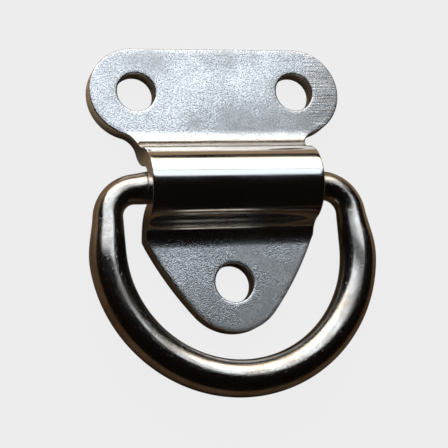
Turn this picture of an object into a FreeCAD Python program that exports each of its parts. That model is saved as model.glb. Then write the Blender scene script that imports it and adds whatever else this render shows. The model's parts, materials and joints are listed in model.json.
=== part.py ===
import FreeCAD, Part
import math
import os

# Pad eye: a pressed stainless strap plate whose raised channel holds a D-ring against a deck.
# The origin is midway between the two upper screw holes, on the mounting face. +X runs along
# that pair of holes, +Y points away from the ring, and +Z points out of the deck. Millimetres.

# D-ring, bent from round bar and butt welded in the middle of its straight side
bar_dia = 8.0
ring_inner_width = 48.0
ring_inner_length = 34.0
ring_corner_radius = 2.0

# Butt weld: a V-groove all round the two bar ends, filled with a low crown
weld_root_gap = 1.2
weld_root_dia = 3.0
weld_cap_width = 4.4
weld_crown = 0.12

# Strap plate
plate_thickness = 4.0
channel_clearance = 0.25
channel_width = 38.0
channel_height = 15.0
bend_radius = 5.0
channel_to_upper_holes = 22.0

# Upper flange, with two screw holes
upper_flange_length = 57.5
upper_flange_height = 20.0
upper_hole_spacing = 36.5
neck_radius = 2.0

# Lower flange, with one screw hole in its tapered tongue
lower_hole_drop = 43.0
lower_hole_margin = 10.7
tip_radius = 11.2
tip_half_angle = 39.5
tongue_side_radius = 74.0

# Screw holes
screw_hole_dia = 8.5
hole_deburr = 0.35

# Heights and reaches that follow from the sizes above
bar_radius = bar_dia / 2
channel_inner_radius = bar_radius + channel_clearance
channel_outer_radius = channel_inner_radius + plate_thickness
bar_height = channel_height - channel_outer_radius
bar_y = -channel_to_upper_holes
bow_radius = ring_inner_width / 2 + bar_radius
bow_drop = ring_inner_length + bar_radius - ring_inner_width / 2
corner_radius = ring_corner_radius + bar_radius
tip_y = -(lower_hole_drop + lower_hole_margin)
end_radius = upper_flange_height / 2
end_centre_x = upper_flange_length / 2 - end_radius
cut_over = 1.0


def polar(centre, radius, degrees):
    """A point in a plane, at an angle round a centre."""
    angle = math.radians(degrees)
    return (centre[0] + radius * math.cos(angle), centre[1] + radius * math.sin(angle))


def plan(point, height=0.0):
    """A plan point (x, y) as a vector."""
    return FreeCAD.Vector(point[0], point[1], height)


def side(point, x=0.0):
    """A side-view point (y, z) as a vector."""
    return FreeCAD.Vector(x, point[0], point[1])


def arc(place, centre, radius, start, end):
    """An arc round a centre, from one angle to another in degrees."""
    middle = polar(centre, radius, (start + end) / 2)
    first = polar(centre, radius, start)
    last = polar(centre, radius, end)
    return Part.Arc(place(first), place(middle), place(last)).toShape()


def line(place, start, end):
    return Part.LineSegment(place(start), place(end)).toShape()


def closed_face(edges):
    """A flat face from edges given in order, closed by their shared ends."""
    return Part.Face(Part.Wire(edges))


def strap_profile():
    """The bent strap in side view: flat, up over the bar, and flat again."""
    bend_z = plate_thickness + bend_radius
    bend_rise = bend_z - bar_height
    bend_reach = channel_outer_radius + bend_radius
    foot = math.sqrt(bend_reach ** 2 - bend_rise ** 2)
    tilt = math.degrees(math.atan2(bend_rise, foot))
    crown = (bar_y, bar_height)
    upper_bend = (bar_y + foot, bend_z)
    lower_bend = (bar_y - foot, bend_z)
    top_y = end_radius
    back_radius = bend_radius + plate_thickness
    edges = [
        line(side, (top_y, plate_thickness), (upper_bend[0], plate_thickness)),
        arc(side, upper_bend, bend_radius, 270, 180 + tilt),
        arc(side, crown, channel_outer_radius, tilt, 180 - tilt),
        arc(side, lower_bend, bend_radius, -tilt, -90),
        line(side, (lower_bend[0], plate_thickness), (tip_y, plate_thickness)),
        line(side, (tip_y, plate_thickness), (tip_y, 0)),
        line(side, (tip_y, 0), (lower_bend[0], 0)),
        arc(side, lower_bend, back_radius, -90, -tilt),
        arc(side, crown, channel_inner_radius, 180 - tilt, tilt),
        arc(side, upper_bend, back_radius, 180 + tilt, 270),
        line(side, (upper_bend[0], 0), (top_y, 0)),
        line(side, (top_y, 0), (top_y, plate_thickness)),
    ]
    return closed_face(edges)


def blank_outline():
    """The plate's outline in plan: a round-ended bar, a neck, and a tapered tongue."""
    half_width = channel_width / 2
    neck_x = half_width + neck_radius
    neck_reach = end_radius + neck_radius
    neck_y = -math.sqrt(neck_reach ** 2 - (neck_x - end_centre_x) ** 2)
    neck_angle = math.degrees(math.atan2(neck_y, neck_x - end_centre_x))
    tip_centre = (0.0, tip_y + tip_radius)
    side_centre = polar(tip_centre, tongue_side_radius - tip_radius, 180 - tip_half_angle)
    side_run = half_width - side_centre[0]
    side_drop = math.sqrt(tongue_side_radius ** 2 - side_run ** 2)
    side_start = (half_width, side_centre[1] - side_drop)
    side_angle = -math.degrees(math.atan2(side_drop, side_run))
    right_end = (end_centre_x, 0.0)
    left_end = (-end_centre_x, 0.0)
    right_neck = (neck_x, neck_y)
    left_neck = (-neck_x, neck_y)
    left_side_centre = (-side_centre[0], side_centre[1])
    edges = [
        line(plan, (-end_centre_x, end_radius), (end_centre_x, end_radius)),
        arc(plan, right_end, end_radius, 90, neck_angle),
        arc(plan, right_neck, neck_radius, neck_angle + 180, 180),
        line(plan, (half_width, neck_y), side_start),
        arc(plan, side_centre, tongue_side_radius, side_angle, -tip_half_angle),
        arc(plan, tip_centre, tip_radius, -tip_half_angle, -180 + tip_half_angle),
        arc(plan, left_side_centre, tongue_side_radius, 180 + tip_half_angle, 180 - side_angle),
        line(plan, (-half_width, side_start[1]), (-half_width, neck_y)),
        arc(plan, left_neck, neck_radius, 0, -neck_angle),
        arc(plan, left_end, end_radius, 180 - neck_angle, 90),
    ]
    return closed_face(edges)


def screw_hole(x, y):
    """A straight hole through the plate, with its front rim lightly deburred."""
    radius = screw_hole_dia / 2
    bore_start = FreeCAD.Vector(x, y, -cut_over)
    bore = Part.makeCylinder(radius, plate_thickness + 2 * cut_over, bore_start)
    rim_start = FreeCAD.Vector(x, y, plate_thickness - hole_deburr)
    rim_depth = hole_deburr + cut_over
    rim = Part.makeCone(radius, radius + rim_depth, rim_depth, rim_start)
    return bore.fuse(rim)


def mounting_plate():
    """The pressed strap: side profile and plan outline, with its three screw holes."""
    half_length = upper_flange_length / 2 + cut_over
    profile = strap_profile()
    profile.translate(FreeCAD.Vector(-half_length, 0, 0))
    strap = profile.extrude(FreeCAD.Vector(2 * half_length, 0, 0))
    outline = blank_outline()
    outline.translate(FreeCAD.Vector(0, 0, -cut_over))
    blank = outline.extrude(FreeCAD.Vector(0, 0, channel_height + 2 * cut_over))
    plate = strap.common(blank)
    holes = [
        screw_hole(-upper_hole_spacing / 2, 0),
        screw_hole(upper_hole_spacing / 2, 0),
        screw_hole(0, -lower_hole_drop),
    ]
    return plate.cut(holes)


def bar_section(position, direction):
    """The round bar's cross-section at a place along the ring."""
    return Part.Face(Part.Wire(Part.makeCircle(bar_radius, position, direction)))


def weld_prep(cap_radius):
    """The V-groove's space round the bar's middle, turned about the bar's axis."""
    root = weld_root_gap / 2
    cap = weld_cap_width / 2
    root_radius = weld_root_dia / 2
    corners = [
        (-root, 0.0),
        (root, 0.0),
        (root, root_radius),
        (cap, bar_radius),
        (0.0, cap_radius),
        (-cap, bar_radius),
        (-root, root_radius),
    ]
    points = [FreeCAD.Vector(x, bar_y, bar_height + radius) for x, radius in corners]
    section = Part.Face(Part.makePolygon(points + points[:1]))
    middle = FreeCAD.Vector(0, bar_y, bar_height)
    return section.revolve(middle, FreeCAD.Vector(1, 0, 0), 360)


def half_ring(hand):
    """One side of the D from the middle of the bar to the bottom of the bow."""
    x_axis = FreeCAD.Vector(1, 0, 0)
    y_axis = FreeCAD.Vector(0, 1, 0)
    z_axis = FreeCAD.Vector(0, 0, 1)
    corner_x = hand * (bow_radius - corner_radius)
    leg_x = hand * bow_radius
    leg_length = bow_drop - corner_radius
    bar_middle = FreeCAD.Vector(0, bar_y, bar_height)
    bar_end = FreeCAD.Vector(corner_x, bar_y, bar_height)
    corner_centre = FreeCAD.Vector(corner_x, bar_y - corner_radius, bar_height)
    leg_top = FreeCAD.Vector(leg_x, bar_y - corner_radius, bar_height)
    leg_bottom = FreeCAD.Vector(leg_x, bar_y - bow_drop, bar_height)
    bow_centre = FreeCAD.Vector(0, bar_y - bow_drop, bar_height)
    straight = bar_section(bar_middle, x_axis).extrude(x_axis * corner_x)
    corner = bar_section(bar_end, x_axis).revolve(corner_centre, z_axis, -90 * hand)
    leg = bar_section(leg_top, y_axis).extrude(y_axis * -leg_length)
    bow = bar_section(leg_bottom, y_axis).revolve(bow_centre, z_axis, -90 * hand)
    return [straight, corner, leg, bow]


def d_ring():
    """The whole D with the V-groove open at the middle of its straight side."""
    pieces = half_ring(1) + half_ring(-1)
    ring = pieces[0].fuse(pieces[1:])
    return ring.cut(weld_prep(bar_radius + cut_over))


def ring_weld():
    """Weld metal between the two bar ends, with a low crown all round."""
    return weld_prep(bar_radius + weld_crown)


def save(name, shape):
    """Write one clean solid as the sub-part's STEP file."""
    clean = shape.removeSplitter()
    solid = clean.Solids[0]
    solid.exportStep("parts/" + name + ".step")
    print(name, "solids", len(clean.Solids), "valid", solid.isValid(), "mm3", round(solid.Volume, 1))


os.makedirs("parts", exist_ok=True)
save("mounting_plate", mounting_plate())
save("d_ring", d_ring())
save("ring_weld", ring_weld())
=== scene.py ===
import bpy
import bmesh
import json
import math
from mathutils import Matrix, Vector, noise
from mathutils.geometry import delaunay_2d_cdt


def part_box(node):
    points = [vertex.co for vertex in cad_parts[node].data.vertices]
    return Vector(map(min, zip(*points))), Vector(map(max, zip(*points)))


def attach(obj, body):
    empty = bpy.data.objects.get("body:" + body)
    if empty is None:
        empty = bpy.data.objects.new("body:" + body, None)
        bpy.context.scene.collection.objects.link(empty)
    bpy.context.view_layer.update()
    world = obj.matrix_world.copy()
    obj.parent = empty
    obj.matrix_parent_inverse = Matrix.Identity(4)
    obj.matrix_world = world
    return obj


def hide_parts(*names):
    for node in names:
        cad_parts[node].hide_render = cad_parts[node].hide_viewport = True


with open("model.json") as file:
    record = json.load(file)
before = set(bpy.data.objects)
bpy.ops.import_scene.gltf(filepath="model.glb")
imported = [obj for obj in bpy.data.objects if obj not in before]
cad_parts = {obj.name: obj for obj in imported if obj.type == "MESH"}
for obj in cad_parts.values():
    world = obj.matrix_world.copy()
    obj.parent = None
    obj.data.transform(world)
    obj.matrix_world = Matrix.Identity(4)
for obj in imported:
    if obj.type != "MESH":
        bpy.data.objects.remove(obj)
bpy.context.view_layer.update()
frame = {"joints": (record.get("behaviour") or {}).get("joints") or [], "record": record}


# Strap plate: one blank of 4 mm stainless steel, cut to outline and punched, then pressed over a
# former so that its middle arches over the ring's bar. Two screws through the upper flange and
# one through the tongue hold it to the deck.

plate_low, plate_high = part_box("mounting_plate")
hinge = Vector(frame["joints"][0]["pos_m"])
mounts = {mount["name"]: mount for mount in frame["record"]["mounts"]}
upper_holes = mounts["upper_screw_holes"]["dims"]
lower_hole_y = mounts["lower_screw_hole"]["pos_m"][1]

sheet = 0.004
crown_middle = plate_high.z - hinge.z - sheet / 2
bend_middle = 0.007
bend_height = bend_middle + sheet / 2
bend_reach = math.sqrt((crown_middle + bend_middle) ** 2 - (bend_height - hinge.z) ** 2)
press_turn = math.pi / 2 - math.atan2(bend_height - hinge.z, bend_reach)
crown_run = crown_middle * press_turn
flange_run = crown_run + bend_middle * press_turn

channel_half = 0.019
end_radius = plate_high.y
end_centre = plate_high.x - end_radius
neck_radius = 0.004
upright_turn = math.radians(62)
tip_radius = 0.0112
tip_half_angle = 39.5
tongue_side_radius = 0.074
hole_radius = upper_holes["hole_r_mm"] / 1000
hole_half_spacing = upper_holes["spacing_x_mm"] / 2000
hole_places = [(-hole_half_spacing, 0), (hole_half_spacing, 0), (0, lower_hole_y)]

outer_edge = 0.00035
hole_edge = 0.0004
back_edge = 0.0003
edge_steps = 5
wall_steps = 4
rim_step = 0.0003
face_step = 0.0005
wave_height = 0.00002
wave_length = 0.012

press_from = sheet + 0.0001
press_full = sheet + 0.0012
ground_from = 0.02
ground_full = 0.024
flat_bright = (0.8, 0.8, 0.81, 1)
flat_worn = (0.36, 0.36, 0.355, 1)
flat_wear = (0.65, 1.25)
pressed_tint = (0.62, 0.6, 0.57, 1)
flat_mottle, flat_roughness = (0.35, 0.65), (0.19, 0.3)
pressed_mottle, pressed_roughness = (0.3, 0.7), (0.1, 0.16)
strap_grain = {"Grain scale": 3400.0, "Pit scale": 3000.0, "Pit share": 0.37, "Mottle scale": 60.0}
scratch_marks = {"Turn": 0.7, "Across": 4200.0, "Along": 600.0, "Share": 0.57}
tool_marks = {"Turn": 0.0, "Across": 2600.0, "Along": 40.0, "Share": 0.5}
ground_marks = {"Turn": 0.0, "Across": 2200.0, "Along": 60.0, "Share": 0.46}
strap_relief = 0.000035
pit_depth = 0.4
scratch_depth = 0.1
tool_depth = 0.02
ground_depth = 0.8
speck_wear = 0.8


def pressed(across, run, height):
    """Where a point of the flat blank ends up. Run goes along the sheet's middle from the crown."""
    side = math.copysign(1, run)
    distance = abs(run)
    if distance < crown_run:
        turn = distance / crown_middle
        radius = crown_middle + height
        reach, rise = radius * math.sin(turn), hinge.z + radius * math.cos(turn)
    elif distance < flange_run:
        turn = (flange_run - distance) / bend_middle
        radius = bend_middle - height
        reach, rise = bend_reach - radius * math.sin(turn), bend_height - radius * math.cos(turn)
    else:
        reach, rise = bend_reach + distance - flange_run, sheet / 2 + height
    if height > 0:
        rise -= wave_height * (1 + noise.noise(Vector((across, run, 0)) / wave_length))
    return Vector((across, hinge.y + side * reach, rise))


def blank_run(y):
    """The run on the flat blank whose front surface lies at y once the strap is pressed."""
    reach = abs(y - hinge.y)
    if reach > bend_reach:
        run = flange_run + reach - bend_reach
    else:
        run = flange_run - bend_middle * math.asin((bend_reach - reach) / (bend_middle - sheet / 2))
    return math.copysign(run, y - hinge.y)


def upright(flat, height):
    """The blank's point whose cut edge stands upright where the strap bends up to its arch."""
    distance = abs(flat.y)
    if not crown_run < distance < flange_run:
        return flat
    turn = (flange_run - distance) / bend_middle
    shrink = (bend_middle - sheet / 2) / (bend_middle - height)
    kept = min(turn, upright_turn)
    level = math.asin(shrink * math.sin(kept))
    level += (turn - kept) * (press_turn - level) / (press_turn - kept)
    return Vector((flat.x, math.copysign(flange_run - bend_middle * level, flat.y)))


def round_rim(centre, radius, start, end):
    """Points along an arc in plan, from one angle to another in degrees, without the last one."""
    count = round(abs(math.radians(end - start)) * radius / rim_step)
    angles = [math.radians(start + (end - start) * i / count) for i in range(count)]
    return [Vector((centre[0] + radius * math.cos(a), centre[1] + radius * math.sin(a))) for a in angles]


def straight_rim(start, end):
    """Points along a line, without the last one."""
    count = round((end - start).length / rim_step)
    return [start.lerp(end, i / count) for i in range(count)]


def on_blank(points):
    """Plan points as they lie on the flat blank before pressing."""
    return [Vector((p.x, blank_run(p.y))) for p in points]


def plate_rim():
    """The blank's outline, with the metal on the left of its direction of travel."""
    neck_x = channel_half + neck_radius
    neck_y = -math.sqrt((end_radius + neck_radius) ** 2 - (neck_x - end_centre) ** 2)
    neck_angle = math.degrees(math.atan2(neck_y, neck_x - end_centre))
    tip_y = plate_low.y + tip_radius
    flank_turn = math.radians(180 - tip_half_angle)
    to_flank = tongue_side_radius - tip_radius
    flank_centre = (to_flank * math.cos(flank_turn), tip_y + to_flank * math.sin(flank_turn))
    flank_angle = -math.degrees(math.acos((channel_half - flank_centre[0]) / tongue_side_radius))
    shoulder_y = flank_centre[1] + tongue_side_radius * math.sin(math.radians(flank_angle))
    top = straight_rim(Vector((0, end_radius)), Vector((end_centre, end_radius)))
    end = round_rim((end_centre, 0), end_radius, 90, neck_angle)
    neck = round_rim((neck_x, neck_y), neck_radius, neck_angle + 180, 180)
    flank = round_rim(flank_centre, tongue_side_radius, flank_angle, -tip_half_angle)
    tip = round_rim((0, tip_y), tip_radius, -tip_half_angle, -90) + [Vector((0, plate_low.y))]
    channel_top = Vector((channel_half, blank_run(neck_y)))
    channel_bottom = Vector((channel_half, blank_run(shoulder_y)))
    channel = straight_rim(channel_top, channel_bottom)
    right = on_blank(top + end + neck) + channel + on_blank(flank + tip)
    left = [Vector((-p.x, p.y)) for p in right[1:-1]]
    return left + right[-1:] + right[-2::-1]


def hole_rim(x, y):
    """A screw hole's outline on the blank, with the metal on the left of its direction."""
    circle = round_rim((x, 0), hole_radius, 360, 0)
    return [Vector((p.x, p.y + blank_run(y))) for p in circle]


def cut_edge(front, back):
    """The section of a cut edge from front face to back face, as inset and height."""
    quarter = [math.pi / 2 * i / edge_steps for i in range(edge_steps + 1)]
    top, bottom = sheet / 2 - front, back - sheet / 2
    section = [(front * (1 - math.sin(a)), top + front * math.cos(a)) for a in quarter]
    section += [(0, top + (bottom - top) * i / wall_steps) for i in range(1, wall_steps)]
    return section + [(back * (1 - math.cos(a)), bottom - back * math.sin(a)) for a in quarter]


def rim_wall(metal, rim, front):
    """Build one rim's wall with both its edges rounded, and return its front and back rows."""
    rows = []
    for inset, height in cut_edge(front, back_edge):
        row = []
        for i, point in enumerate(rim):
            along = (rim[(i + 1) % len(rim)] - rim[i - 1]).normalized()
            flat = upright(point + Vector((-along.y, along.x)) * inset, height)
            row.append((metal.verts.new(pressed(flat.x, flat.y, height)), flat))
        rows.append(row)
    for upper, lower in zip(rows, rows[1:]):
        for i in range(len(rim)):
            metal.faces.new((upper[i - 1][0], lower[i - 1][0], lower[i][0], upper[i][0]))
    return rows[0], rows[-1]


def half_width(rim, run):
    """Half the blank's width at a run, from its outline."""
    for (_, a), (_, b) in zip(rim, rim[1:] + rim[:1]):
        if a.x > 0 and min(a.y, b.y) <= run <= max(a.y, b.y) and a.y != b.y:
            return a.x + (b.x - a.x) * (run - a.y) / (b.y - a.y)
    return 0


def face_grid(rim):
    """Staggered points all over the blank, clear of its outline and its holes."""
    lowest = min(p.y for _, p in rim)
    highest = max(p.y for _, p in rim)
    centres = [Vector((x, blank_run(y))) for x, y in hole_places]
    clear = hole_radius + hole_edge + face_step / 2
    grid = []
    for row in range(1, int((highest - lowest) / face_step)):
        run = lowest + row * face_step
        width = min(half_width(rim, run + lean) for lean in (-face_step / 2, 0, face_step / 2))
        reach = int((width - face_step / 2) / face_step)
        for column in range(-reach, reach + row % 2):
            point = Vector(((column + 0.5 * (1 - row % 2)) * face_step, run))
            if abs(point.x) < width - face_step / 2 and all((point - c).length > clear for c in centres):
                grid.append(point)
    return grid


def fill_face(metal, rims, height):
    """Fill the front or back face between its outline and its holes with even triangles."""
    points, verts, owners, loops = [], [], [], []
    for rim in rims:
        loops.append(list(range(len(points), len(points) + len(rim))))
        owners += [len(loops)] * len(rim)
        points += [point for _, point in rim]
        verts += [vert for vert, _ in rim]
    points += face_grid(rims[0])
    owners += [0] * (len(points) - len(verts))
    verts += [metal.verts.new(pressed(p.x, p.y, height)) for p in points[len(verts):]]
    _, _, faces, origins, _, _ = delaunay_2d_cdt(points, [], loops, 1, 1e-8)
    for face in faces:
        corners = [origins[i][0] for i in face]
        touched = {owners[i] for i in corners}
        if len(touched) > 1 or touched < {0, 1}:
            metal.faces.new([verts[i] for i in (corners if height > 0 else corners[::-1])])


def strap_plate():
    """The whole plate: walls round the outline and the holes, then its two faces."""
    metal = bmesh.new()
    walls = [rim_wall(metal, plate_rim(), outer_edge)]
    walls += [rim_wall(metal, hole_rim(x, y), hole_edge) for x, y in hole_places]
    fill_face(metal, [front for front, _ in walls], sheet / 2)
    fill_face(metal, [back for _, back in walls], -sheet / 2)
    metal.normal_update()
    mesh = bpy.data.meshes.new("strap_plate")
    metal.to_mesh(mesh)
    metal.free()
    mesh.shade_smooth()
    plate = bpy.data.objects.new("strap_plate", mesh)
    bpy.context.scene.collection.objects.link(plate)
    return plate


def node(tree, kind, inputs=None, **settings):
    """One node with its settings. Each input is a plain value or another node's output."""
    made = tree.nodes.new(kind)
    for name, value in settings.items():
        setattr(made, name, value)
    for key, value in (inputs or {}).items():
        if isinstance(value, bpy.types.NodeSocket):
            tree.links.new(value, made.inputs[key])
        else:
            made.inputs[key].default_value = value
    return made


def maths(tree, operation, *values):
    """One step of arithmetic on numbers."""
    return node(tree, "ShaderNodeMath", dict(enumerate(values)), operation=operation).outputs[0]


def vectors(tree, operation, *values):
    """One step of arithmetic on vectors, which can come out as a number."""
    made = node(tree, "ShaderNodeVectorMath", dict(enumerate(values)), operation=operation)
    return made.outputs["Value" if operation in ("LENGTH", "DISTANCE", "DOT_PRODUCT") else "Vector"]


def fade(tree, value, low, high, start=0.0, end=1.0):
    """A smooth rise from start to end while a value goes from low to high."""
    inputs = {"Value": value, "From Min": low, "From Max": high, "To Min": start, "To Max": end}
    return node(tree, "ShaderNodeMapRange", inputs, interpolation_type="SMOOTHSTEP").outputs[0]


def cloud(tree, place, scale, detail=2.0, roughness=0.5):
    """Soft noise at a place. The scale is in features per metre."""
    inputs = {"Vector": place, "Scale": scale, "Detail": detail, "Roughness": roughness}
    return node(tree, "ShaderNodeTexNoise", inputs).outputs[0]


def new_tree(name, kind, takes, gives):
    """A node group with named inputs and outputs, and the nodes that stand for them."""
    tree = bpy.data.node_groups.new(name, kind)
    for label, (socket, value) in takes.items():
        made = tree.interface.new_socket(label, in_out="INPUT", socket_type="NodeSocket" + socket)
        if value is not None:
            made.default_value = value
    for label, socket in gives.items():
        tree.interface.new_socket(label, in_out="OUTPUT", socket_type="NodeSocket" + socket)
    return tree, tree.nodes.new("NodeGroupInput").outputs, tree.nodes.new("NodeGroupOutput").inputs


def new_steel(name):
    """A bare metal material, and its shader, with every link still to be made."""
    material = bpy.data.materials.new(name)
    material.use_nodes = True
    shader = material.node_tree.nodes["Principled BSDF"]
    shader.inputs["Metallic"].default_value = 1.0
    return material, shader


def grain_group():
    """Fine rolled and pickled grain, with larger pits, and a slow mottle for tint and gloss."""
    takes = {
        "Place": ("Vector", None),
        "Grain scale": ("Float", 2600.0),
        "Pit scale": ("Float", 900.0),
        "Pit share": ("Float", 0.35),
        "Mottle scale": ("Float", 200.0),
    }
    gives = {"Grain": "Float", "Pits": "Float", "Mottle": "Float"}
    tree, given, result = new_tree("steel_grain", "ShaderNodeTree", takes, gives)
    grain = cloud(tree, given["Place"], given["Grain scale"], 3.0, 0.65)
    wide = cloud(tree, given["Place"], given["Pit scale"], 2.0, 0.6)
    pits = fade(tree, wide, given["Pit share"], maths(tree, "ADD", given["Pit share"], 0.1), 1.0, 0.0)
    mottle = cloud(tree, given["Place"], given["Mottle scale"], 3.0, 0.6)
    tree.links.new(grain, result["Grain"])
    tree.links.new(pits, result["Pits"])
    tree.links.new(mottle, result["Mottle"])
    return tree


def rub_group():
    """Fine marks rubbed or rolled in one direction, broken into short lengths."""
    takes = {
        "Place": ("Vector", None),
        "Turn": ("Float", 0.0),
        "Across": ("Float", 5000.0),
        "Along": ("Float", 300.0),
        "Share": ("Float", 0.6),
    }
    tree, given, result = new_tree("rubbed_marks", "ShaderNodeTree", takes, {"Marks": "Float"})
    turn = node(tree, "ShaderNodeCombineXYZ", {2: given["Turn"]}).outputs[0]
    stretch = {0: given["Along"], 1: given["Across"], 2: given["Across"]}
    sizes = node(tree, "ShaderNodeCombineXYZ", stretch).outputs[0]
    turned = node(tree, "ShaderNodeMapping", {"Vector": given["Place"], "Rotation": turn}).outputs[0]
    stretched = vectors(tree, "MULTIPLY", turned, sizes)
    lines = cloud(tree, stretched, 1.0, 2.0, 0.5)
    high = maths(tree, "ADD", given["Share"], 0.08)
    tree.links.new(fade(tree, lines, given["Share"], high), result["Marks"])
    return tree


steel_grain = grain_group()
rubbed_marks = rub_group()


def placed(tree, group, values):
    """One shared effect set into a material with its own values."""
    return node(tree, "ShaderNodeGroup", values, node_tree=group).outputs


def blend(tree, share, first, second):
    """A mix of two colours, each a plain colour or another node's output."""
    inputs = {"Factor": share, 6: first, 7: second}
    return node(tree, "ShaderNodeMix", inputs, data_type="RGBA").outputs[2]


def dress_strap_steel(material, shader):
    """Grainy pitted flats, a smoother crown where the tools rubbed, and fine scratches."""
    tree = material.node_tree
    place = node(tree, "ShaderNodeTexCoord").outputs["Object"]
    apart = node(tree, "ShaderNodeSeparateXYZ", {0: place}).outputs
    pressed_part = fade(tree, apart[2], press_from, press_full)
    flat_part = maths(tree, "SUBTRACT", 1.0, pressed_part)
    ground_part = fade(tree, apart[0], ground_from, ground_full)
    grain = placed(tree, steel_grain, {"Place": place, **strap_grain})
    scratched = placed(tree, rubbed_marks, {"Place": place, **scratch_marks})["Marks"]
    tooled = placed(tree, rubbed_marks, {"Place": place, **tool_marks})["Marks"]
    ground = placed(tree, rubbed_marks, {"Place": place, **ground_marks})["Marks"]
    pits = maths(tree, "MULTIPLY", grain["Pits"], pit_depth)
    grit = maths(tree, "SUBTRACT", grain["Grain"], pits)
    scratches = maths(tree, "MULTIPLY", scratched, -scratch_depth)
    strokes = maths(tree, "MULTIPLY", maths(tree, "MULTIPLY", ground, ground_part), -ground_depth)
    rough = maths(tree, "ADD", maths(tree, "ADD", grit, scratches), strokes)
    lines = maths(tree, "MULTIPLY", tooled, maths(tree, "MULTIPLY", pressed_part, tool_depth))
    height = maths(tree, "ADD", maths(tree, "MULTIPLY", rough, flat_part), lines)
    bump = node(tree, "ShaderNodeBump", {"Height": height, "Distance": strap_relief, "Strength": 1.0})
    flat_gloss = fade(tree, grain["Mottle"], *flat_mottle, *flat_roughness)
    press_gloss = fade(tree, grain["Mottle"], *pressed_mottle, *pressed_roughness)
    inputs = {0: pressed_part, 2: flat_gloss, 3: press_gloss}
    gloss = node(tree, "ShaderNodeMix", inputs, data_type="FLOAT").outputs[0]
    specks = maths(tree, "MULTIPLY", maths(tree, "ADD", grain["Grain"], pits), flat_part)
    worn = maths(tree, "ADD", maths(tree, "MULTIPLY", specks, speck_wear), grain["Mottle"])
    flat_tint = blend(tree, fade(tree, worn, *flat_wear), flat_bright, flat_worn)
    tint = blend(tree, pressed_part, flat_tint, pressed_tint)
    tree.links.new(tint, shader.inputs["Base Color"])
    tree.links.new(gloss, shader.inputs["Roughness"])
    tree.links.new(bump.outputs[0], shader.inputs["Normal"])


strap_steel, strap_shader = new_steel("pickled_strap_steel")
dress_strap_steel(strap_steel, strap_shader)
plate = strap_plate()
plate.data.materials.append(strap_steel)
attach(plate, "plate")
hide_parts("mounting_plate")


# D-ring: a length of 8 mm stainless round bar, bent cold on a former until its ends meet in the
# middle of the straight side. The two tight corners draw the bar a little thinner on their
# outside. The straight side lies loose in the strap's arch, so the ring can swing.

ring_low, ring_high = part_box("d_ring")
bar_radius = (ring_high.z - ring_low.z) / 2
bow_radius = ring_high.x - bar_radius
bow_centre_y = ring_low.y + bar_radius + bow_radius
corner_radius = 0.006
bar_gap = 0.0012
corner_drawn = {"Drawn reach": 0.0165, "Drawn thinner": 0.22, "Drawn inward": 0.0011}
path_step = 0.0006
lump_top = 0.75

ring_bright = (0.66, 0.62, 0.57, 1)
ring_worn = (0.36, 0.31, 0.26, 1)
ring_wear = (0.6, 1.2)
ring_mottle, ring_roughness = (0.3, 0.7), (0.13, 0.2)
ring_grain = {"Grain scale": 5200.0, "Pit scale": 1700.0, "Pit share": 0.3, "Mottle scale": 160.0}
drawing_marks = {"Turn": 0.0, "Across": 4200.0, "Along": 160.0, "Share": 0.56}
ring_relief = 0.000025
ring_bump = 0.8
grit_depth = 0.7
drawing_depth = 0.2
grain_wear = 0.8


def made_by_nodes(base, tree, values, name):
    """Run a geometry tree on a base object and keep only the plain mesh that it makes."""
    maker = base.modifiers.new(tree.name, "NODES")
    maker.node_group = tree
    for item in tree.interface.items_tree:
        if item.in_out == "INPUT" and item.name in values:
            maker[item.identifier] = values[item.name]
    depsgraph = bpy.context.evaluated_depsgraph_get()
    mesh = bpy.data.meshes.new_from_object(base.evaluated_get(depsgraph))
    bpy.data.objects.remove(base)
    mesh.name = name
    piece = bpy.data.objects.new(name, mesh)
    bpy.context.scene.collection.objects.link(piece)
    return piece


def arc_path(centre, radius, start, end):
    """Points on the bar's centre line round one bend, angles in degrees."""
    count = round(abs(math.radians(end - start)) * radius / path_step)
    angles = [math.radians(start + (end - start) * i / count) for i in range(count + 1)]
    offsets = [(radius * math.cos(a), radius * math.sin(a)) for a in angles]
    return [Vector((centre[0] + x, centre[1] + y, hinge.z)) for x, y in offsets]


def ring_path():
    """The centre line of the bar, from one end at the weld round the D to the other end."""
    corner_x = bow_radius - corner_radius
    corner_y = hinge.y - corner_radius
    points = [Vector((bar_gap / 2, hinge.y, hinge.z))]
    points += arc_path((corner_x, corner_y), corner_radius, 90, 0)
    points += arc_path((0, bow_centre_y), bow_radius, 0, -180)
    points += arc_path((-corner_x, corner_y), corner_radius, 180, 90)
    points += [Vector((-bar_gap / 2, hinge.y, hinge.z))]
    curve = bpy.data.curves.new("ring_path", "CURVE")
    curve.dimensions = "3D"
    spline = curve.splines.new("POLY")
    spline.points.add(len(points) - 1)
    for place, point in zip(spline.points, points):
        place.co = (*point, 1)
    path = bpy.data.objects.new("ring_path", curve)
    bpy.context.scene.collection.objects.link(path)
    return path


def scaled(tree, vector, amount):
    """A vector times a number."""
    return node(tree, "ShaderNodeVectorMath", {0: vector, "Scale": amount}, operation="SCALE").outputs[0]


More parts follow.
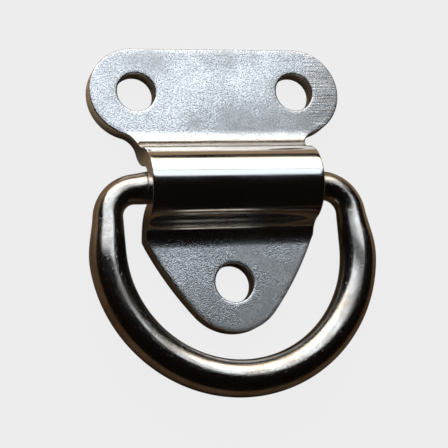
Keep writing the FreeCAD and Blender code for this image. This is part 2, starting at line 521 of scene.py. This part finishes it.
def bent_bar_tree():
    """Sweeps round bar along a path, drawn thinner at two mirrored corners, with a grain frame."""
    takes = {
        "Path": ("Geometry", None),
        "Bar radius": ("Float", 0.004),
        "Corner": ("Vector", (0, 0, 0)),
        "Corner centre": ("Vector", (0, 0, 0)),
        "Drawn reach": ("Float", 0.01),
        "Drawn thinner": ("Float", 0.1),
        "Drawn inward": ("Float", 0.0),
        "Stations": ("Int", 300),
        "Sides": ("Int", 64),
        "Unevenness": ("Float", 0.0),
        "Uneven scale": ("Float", 100.0),
        "Seed": ("Float", 0.0),
        "Steel": ("Material", None),
    }
    tree, given, result = new_tree("bent_bar", "GeometryNodeTree", takes, {"Bar": "Geometry"})
    evened = node(tree, "GeometryNodeResampleCurve", {"Curve": given["Path"], "Count": given["Stations"]})
    place = node(tree, "GeometryNodeInputPosition").outputs[0]
    apart = node(tree, "ShaderNodeSeparateXYZ", {0: place}).outputs
    right_half = {0: maths(tree, "ABSOLUTE", apart[0]), 1: apart[1], 2: apart[2]}
    mirrored = node(tree, "ShaderNodeCombineXYZ", right_half).outputs[0]
    away = vectors(tree, "DISTANCE", mirrored, given["Corner"])
    reach = {"Value": away, "From Min": given["Drawn reach"], "From Max": 0.0}
    drawn = node(tree, "ShaderNodeMapRange", reach, interpolation_type="SMOOTHERSTEP").outputs[0]
    towards = vectors(tree, "SUBTRACT", given["Corner centre"], given["Corner"])
    parts = node(tree, "ShaderNodeSeparateXYZ", {0: vectors(tree, "NORMALIZE", towards)}).outputs
    across = maths(tree, "MULTIPLY", parts[0], maths(tree, "SIGN", apart[0]))
    inward = node(tree, "ShaderNodeCombineXYZ", {0: across, 1: parts[1], 2: parts[2]}).outputs[0]
    shift = scaled(tree, inward, maths(tree, "MULTIPLY", drawn, given["Drawn inward"]))
    capture = node(tree, "GeometryNodeCaptureAttribute", {"Geometry": evened.outputs[0]})
    capture.capture_items.new("FLOAT", "Length")
    capture.capture_items.new("FLOAT", "Drawn")
    length = node(tree, "GeometryNodeSplineParameter").outputs["Length"]
    tree.links.new(length, capture.inputs["Length"])
    tree.links.new(drawn, capture.inputs["Drawn"])
    lost = maths(tree, "MULTIPLY", capture.outputs["Drawn"], given["Drawn thinner"])
    thickness = maths(tree, "SUBTRACT", 1.0, lost)
    drawn_path = {"Geometry": capture.outputs["Geometry"], "Offset": shift}
    moved = node(tree, "GeometryNodeSetPosition", drawn_path)
    centre = node(tree, "GeometryNodeCaptureAttribute", {"Geometry": moved.outputs[0]})
    centre.capture_items.new("VECTOR", "Centre")
    centre.capture_items.new("VECTOR", "Tangent")
    tree.links.new(place, centre.inputs["Centre"])
    tree.links.new(node(tree, "GeometryNodeInputTangent").outputs[0], centre.inputs["Tangent"])
    round_bar = {"Resolution": given["Sides"], "Radius": given["Bar radius"]}
    section = node(tree, "GeometryNodeCurvePrimitiveCircle", round_bar)
    swept = node(
        tree,
        "GeometryNodeCurveToMesh",
        {
            "Curve": centre.outputs["Geometry"],
            "Profile Curve": section.outputs[0],
            "Scale": thickness,
            "Fill Caps": True,
        },
    )
    offset = vectors(tree, "SUBTRACT", place, centre.outputs["Centre"])
    sideways = vectors(tree, "CROSS_PRODUCT", centre.outputs["Tangent"], (0.0, 0.0, 1.0))
    grain = node(
        tree,
        "ShaderNodeCombineXYZ",
        {
            0: capture.outputs["Length"],
            1: vectors(tree, "DOT_PRODUCT", offset, sideways),
            2: vectors(tree, "DOT_PRODUCT", offset, (0.0, 0.0, 1.0)),
        },
    )
    framed = node(
        tree,
        "GeometryNodeStoreNamedAttribute",
        {"Geometry": swept.outputs[0], "Name": "bar_grain", "Value": grain.outputs[0]},
        data_type="FLOAT_VECTOR",
        domain="POINT",
    )
    lumps = node(
        tree,
        "ShaderNodeTexNoise",
        {"Vector": place, "W": given["Seed"], "Scale": given["Uneven scale"], "Detail": 1.0},
        noise_dimensions="4D",
    )
    low_lumps = maths(tree, "SUBTRACT", lumps.outputs[0], lump_top)
    height = maths(tree, "MULTIPLY", low_lumps, given["Unevenness"])
    outward = node(tree, "GeometryNodeInputNormal").outputs[0]
    lift = scaled(tree, outward, height)
    dressed = node(tree, "GeometryNodeSetPosition", {"Geometry": framed.outputs[0], "Offset": lift})
    smooth = node(tree, "GeometryNodeSetShadeSmooth", {"Geometry": dressed.outputs[0]})
    solid = node(tree, "GeometryNodeRealizeInstances", {"Geometry": smooth.outputs[0]})
    steel = {"Geometry": solid.outputs[0], "Material": given["Steel"]}
    finished = node(tree, "GeometryNodeSetMaterial", steel)
    tree.links.new(finished.outputs[0], result["Bar"])
    return tree


def dress_ring_steel(material, shader):
    """Satin bar: fine marks along the bar, a soft grain, and a faint brown mottle."""
    tree = material.node_tree
    along = node(tree, "ShaderNodeAttribute", attribute_name="bar_grain").outputs["Vector"]
    grain = placed(tree, steel_grain, {"Place": along, **ring_grain})
    marks = placed(tree, rubbed_marks, {"Place": along, **drawing_marks})["Marks"]
    grit = maths(tree, "MULTIPLY", maths(tree, "SUBTRACT", grain["Grain"], grain["Pits"]), grit_depth)
    height = maths(tree, "SUBTRACT", grit, maths(tree, "MULTIPLY", marks, drawing_depth))
    relief = {"Height": height, "Distance": ring_relief, "Strength": ring_bump}
    bump = node(tree, "ShaderNodeBump", relief)
    gloss = fade(tree, grain["Mottle"], *ring_mottle, *ring_roughness)
    worn = maths(tree, "ADD", maths(tree, "MULTIPLY", grain["Grain"], grain_wear), grain["Mottle"])
    tint = blend(tree, fade(tree, worn, *ring_wear), ring_bright, ring_worn)
    tree.links.new(tint, shader.inputs["Base Color"])
    tree.links.new(gloss, shader.inputs["Roughness"])
    tree.links.new(bump.outputs[0], shader.inputs["Normal"])


ring_steel, ring_shader = new_steel("satin_ring_steel")
dress_ring_steel(ring_steel, ring_shader)
corner_centre = Vector((bow_radius - corner_radius, hinge.y - corner_radius, hinge.z))
corner_middle = corner_centre + Vector((1, 1, 0)).normalized() * corner_radius
d_ring = made_by_nodes(
    ring_path(),
    bent_bar_tree(),
    {
        "Bar radius": bar_radius,
        "Corner": corner_middle,
        "Corner centre": corner_centre,
        "Stations": 420,
        "Sides": 72,
        "Unevenness": 0.00004,
        "Uneven scale": 90.0,
        "Seed": 3.0,
        "Steel": ring_steel,
        **corner_drawn,
    },
    "bent_d_ring",
)
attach(d_ring, "ring")
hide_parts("d_ring")


# Butt weld: the two bar ends are ground to a V all round, filled by one bead that is run round
# the joint, and left with a low rippled crown. It sits under the arch, in the middle of the bar.

weld_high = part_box("ring_weld")[1]
bead_half_width = weld_high.x
bead_crown = weld_high.z - hinge.z - bar_radius
bead_sunk = 0.00012
bead_ripples = 23
bead_ripple_height = 0.00004
ripple_bow = 2.6
ripple_wander = 1.5
wander_scale = 3.0
bead_sides = {"Vertices": 240, "Side Segments": 20, "Fill Segments": 3}

bead_bare = (0.55, 0.54, 0.52, 1)
bead_straw = (0.5, 0.38, 0.22, 1)
bead_blue = (0.2, 0.22, 0.3, 1)
straw_from, straw_full = 0.2, 0.7
blue_from, blue_full = 0.75, 1.1
toe_share = 0.35
heat_wander = 0.8
bead_mottle, bead_roughness = (0.3, 0.7), (0.22, 0.4)
bead_grain = {"Grain scale": 3000.0, "Pit scale": 1400.0, "Pit share": 0.3}
bead_relief = 0.00001
bead_bump = 0.6


def rippled_bead_tree():
    """A bead wrapped round a bar: crowned across, rippled along, and sunk in at both toes."""
    takes = {
        "Base": ("Geometry", None),
        "Bar centre": ("Vector", (0, 0, 0)),
        "Bar radius": ("Float", 0.004),
        "Half width": ("Float", 0.002),
        "Crown": ("Float", 0.0001),
        "Sunk": ("Float", 0.0001),
        "Ripples": ("Int", 20),
        "Ripple height": ("Float", 0.00003),
        "Seed": ("Float", 0.0),
        "Steel": ("Material", None),
    }
    tree, given, result = new_tree("rippled_bead", "GeometryNodeTree", takes, {"Bead": "Geometry"})
    width = maths(tree, "MULTIPLY", given["Half width"], 2.0)
    cylinder = {**bead_sides, "Radius": 1.0, "Depth": width}
    blank = node(tree, "GeometryNodeMeshCylinder", cylinder)
    position = node(tree, "GeometryNodeInputPosition").outputs[0]
    apart = node(tree, "ShaderNodeSeparateXYZ", {0: position}).outputs
    across = maths(tree, "DIVIDE", apart[2], given["Half width"])
    bowed = maths(tree, "MULTIPLY", across, across)
    angle = maths(tree, "ARCTAN2", apart[1], apart[0])
    wander = node(
        tree,
        "ShaderNodeTexNoise",
        {"Vector": position, "W": given["Seed"], "Scale": wander_scale},
        noise_dimensions="4D",
    )
    turns = maths(tree, "MULTIPLY", angle, given["Ripples"])
    phase = maths(tree, "ADD", turns, maths(tree, "MULTIPLY", bowed, ripple_bow))
    phase = maths(tree, "ADD", phase, maths(tree, "MULTIPLY", wander.outputs[0], ripple_wander))
    ripple = maths(tree, "ABSOLUTE", maths(tree, "SINE", phase))
    wave = maths(tree, "MULTIPLY", ripple, given["Ripple height"])
    crown = maths(tree, "SUBTRACT", given["Crown"], given["Ripple height"])
    drop = maths(tree, "MULTIPLY", bowed, maths(tree, "ADD", crown, given["Sunk"]))
    rise = maths(tree, "SUBTRACT", maths(tree, "ADD", crown, wave), drop)
    radius = maths(tree, "ADD", given["Bar radius"], rise)
    turned = node(
        tree,
        "ShaderNodeCombineXYZ",
        {
            0: apart[2],
            1: maths(tree, "MULTIPLY", apart[0], radius),
            2: maths(tree, "MULTIPLY", apart[1], radius),
        },
    )
    place = vectors(tree, "ADD", turned.outputs[0], given["Bar centre"])
    wrapped = node(tree, "GeometryNodeSetPosition", {"Geometry": blank.outputs[0], "Position": place})
    smooth = node(tree, "GeometryNodeSetShadeSmooth", {"Geometry": wrapped.outputs[0]})
    solid = node(tree, "GeometryNodeRealizeInstances", {"Geometry": smooth.outputs[0]})
    steel = {"Geometry": solid.outputs[0], "Material": given["Steel"]}
    finished = node(tree, "GeometryNodeSetMaterial", steel)
    tree.links.new(finished.outputs[0], result["Bead"])
    return tree


def dress_weld_steel(material, shader):
    """Weld metal, with straw and blue heat tint towards both toes."""
    tree = material.node_tree
    place = node(tree, "ShaderNodeTexCoord").outputs["Object"]
    apart = node(tree, "ShaderNodeSeparateXYZ", {0: place}).outputs
    grain = placed(tree, steel_grain, {"Place": place, **bead_grain})
    middle_end = bead_half_width * toe_share
    toe = fade(tree, maths(tree, "ABSOLUTE", apart[0]), middle_end, bead_half_width)
    patchy = maths(tree, "MULTIPLY", maths(tree, "SUBTRACT", grain["Mottle"], 0.5), heat_wander)
    heat = maths(tree, "ADD", toe, patchy)
    warm = blend(tree, fade(tree, heat, straw_from, straw_full), bead_bare, bead_straw)
    tint = blend(tree, fade(tree, heat, blue_from, blue_full), warm, bead_blue)
    relief = {"Height": grain["Grain"], "Distance": bead_relief, "Strength": bead_bump}
    bump = node(tree, "ShaderNodeBump", relief)
    gloss = fade(tree, grain["Mottle"], *bead_mottle, *bead_roughness)
    tree.links.new(tint, shader.inputs["Base Color"])
    tree.links.new(gloss, shader.inputs["Roughness"])
    tree.links.new(bump.outputs[0], shader.inputs["Normal"])


weld_steel, weld_shader = new_steel("heat_tinted_weld")
dress_weld_steel(weld_steel, weld_shader)
weld_base = bpy.data.objects.new("weld_base", bpy.data.meshes.new("weld_base"))
bpy.context.scene.collection.objects.link(weld_base)
weld = made_by_nodes(
    weld_base,
    rippled_bead_tree(),
    {
        "Bar centre": hinge,
        "Bar radius": bar_radius,
        "Half width": bead_half_width,
        "Crown": bead_crown,
        "Sunk": bead_sunk,
        "Ripples": bead_ripples,
        "Ripple height": bead_ripple_height,
        "Seed": 5.0,
        "Steel": weld_steel,
    },
    "rippled_butt_weld",
)
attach(weld, "ring")
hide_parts("ring_weld")


# Studio: three strips of one large soft panel stand behind the pad eye and lean over it. The camera
# sees the floor and the backdrop as plain and pale. The steel mirrors the panel, a dark surround,
# and the floor as a brown bench, with a painted shadow that darkens the bench towards -Y.

centre = Vector((0, hinge.y, 0))
panel_lean = math.radians(50)
panel_tilt = math.radians(12)
panel_out = Vector((0, math.sin(panel_lean), math.cos(panel_lean)))
panel_up = Vector((0, -math.cos(panel_lean), math.sin(panel_lean)))
side = Vector((1, 0, 0))
panel_right = side * math.cos(panel_tilt) + panel_up * math.sin(panel_tilt)
panel_top = panel_up * math.cos(panel_tilt) - side * math.sin(panel_tilt)
panel_width = 1.5
panel_across = -0.07
pale = (0.855, 0.855, 0.855, 1)
dark_surround = (0.005, 0.0035, 0.003, 1)
# The darker bench colour is painted shadow on the part of the mirrored floor towards -Y.
bench_in_painted_shade = (0.2, 0.12, 0.065, 1)
far_bench = (0.66, 0.46, 0.28, 1)
painted_shade_full_y, painted_shade_end_y = -0.05, 0.01
floor_grey = (0.035, 0.035, 0.035, 1)
floor_brightness = 0.97
floor_half = 2.0
floor_gap = 0.00005


def panel(name, up, height, strength, colour):
    """One strip of the large panel, by how far up it the strip's middle is."""
    light = bpy.data.lights.new(name, "AREA")
    light.shape = "RECTANGLE"
    light.size = panel_width
    light.size_y = height
    light.color = colour
    light.energy = strength * panel_width * height * math.pi
    lamp = bpy.data.objects.new(name, light)
    middle = centre + panel_out + panel_right * panel_across + panel_top * up
    turn = Matrix((panel_top.cross(panel_out), panel_top, panel_out)).transposed()
    lamp.matrix_world = Matrix.Translation(middle) @ turn.to_4x4()
    lamp.visible_camera = False
    bpy.context.scene.collection.objects.link(lamp)


panel("low_panel", up=-0.37, height=0.24, strength=2.6, colour=(1.0, 0.9, 0.76))
panel("main_panel", up=-0.02, height=0.46, strength=3.2, colour=(0.96, 0.98, 1.0))
panel("upper_panel", up=0.44, height=0.38, strength=1.9, colour=(0.8, 0.9, 1.0))

world = bpy.data.worlds.new("surround")
world.use_nodes = True
bpy.context.scene.world = world
surround = world.node_tree
backdrop = surround.nodes["Background"]
seen = node(surround, "ShaderNodeLightPath").outputs["Is Camera Ray"]
surround.links.new(blend(surround, seen, dark_surround, pale), backdrop.inputs["Color"])

floor_mesh = bpy.data.meshes.new("floor")
corners = [(-1, -1), (1, -1), (1, 1), (-1, 1)]
spots = [(x * floor_half, y * floor_half, plate_low.z - floor_gap) for x, y in corners]
floor_mesh.from_pydata(spots, [], [(0, 1, 2, 3)])
floor = bpy.data.objects.new("floor", floor_mesh)
bpy.context.scene.collection.objects.link(floor)
floor_paint = bpy.data.materials.new("floor")
floor_paint.use_nodes = True
paint = floor_paint.node_tree
paint.nodes.remove(paint.nodes["Principled BSDF"])
seen = node(paint, "ShaderNodeLightPath").outputs["Is Camera Ray"]
place = node(paint, "ShaderNodeTexCoord").outputs["Object"]
apart = node(paint, "ShaderNodeSeparateXYZ", {0: place}).outputs
# Painted shadow: the floor that the steel mirrors fades from the far brown to a dark brown towards -Y.
bench = blend(paint, fade(paint, apart[1], painted_shade_full_y, painted_shade_end_y), bench_in_painted_shade, far_bench)
bench_paint = node(paint, "ShaderNodeBsdfDiffuse", {"Color": bench}).outputs[0]
floor_shade = node(paint, "ShaderNodeBsdfDiffuse", {"Color": floor_grey}).outputs[0]
floor_glow = node(paint, "ShaderNodeEmission", {"Color": pale, "Strength": floor_brightness}).outputs[0]
floor_look = node(paint, "ShaderNodeAddShader", {0: floor_shade, 1: floor_glow}).outputs[0]
floor_mix = node(paint, "ShaderNodeMixShader", {0: seen, 1: bench_paint, 2: floor_look}).outputs[0]
paint.links.new(floor_mix, paint.nodes["Material Output"].inputs["Surface"])
floor_mesh.materials.append(floor_paint)

camera_place = Vector((-0.0878, -0.0936, 0.2791))
camera_forward = Vector((0.293, 0.215, -0.931)).normalized()
camera_up = Vector((0.026, 0.972, 0.233))
camera_data = bpy.data.cameras.new("camera")
camera_data.lens = 109.6
camera_data.sensor_width = 36
camera_data.clip_start = 0.01
camera = bpy.data.objects.new("camera", camera_data)
camera_right = camera_forward.cross(camera_up).normalized()
turn = Matrix((camera_right, camera_right.cross(camera_forward), -camera_forward)).transposed()
camera.matrix_world = Matrix.Translation(camera_place) @ turn.to_4x4()
bpy.context.scene.collection.objects.link(camera)
bpy.context.scene.camera = camera
bpy.context.scene.view_settings.view_transform = "Standard"
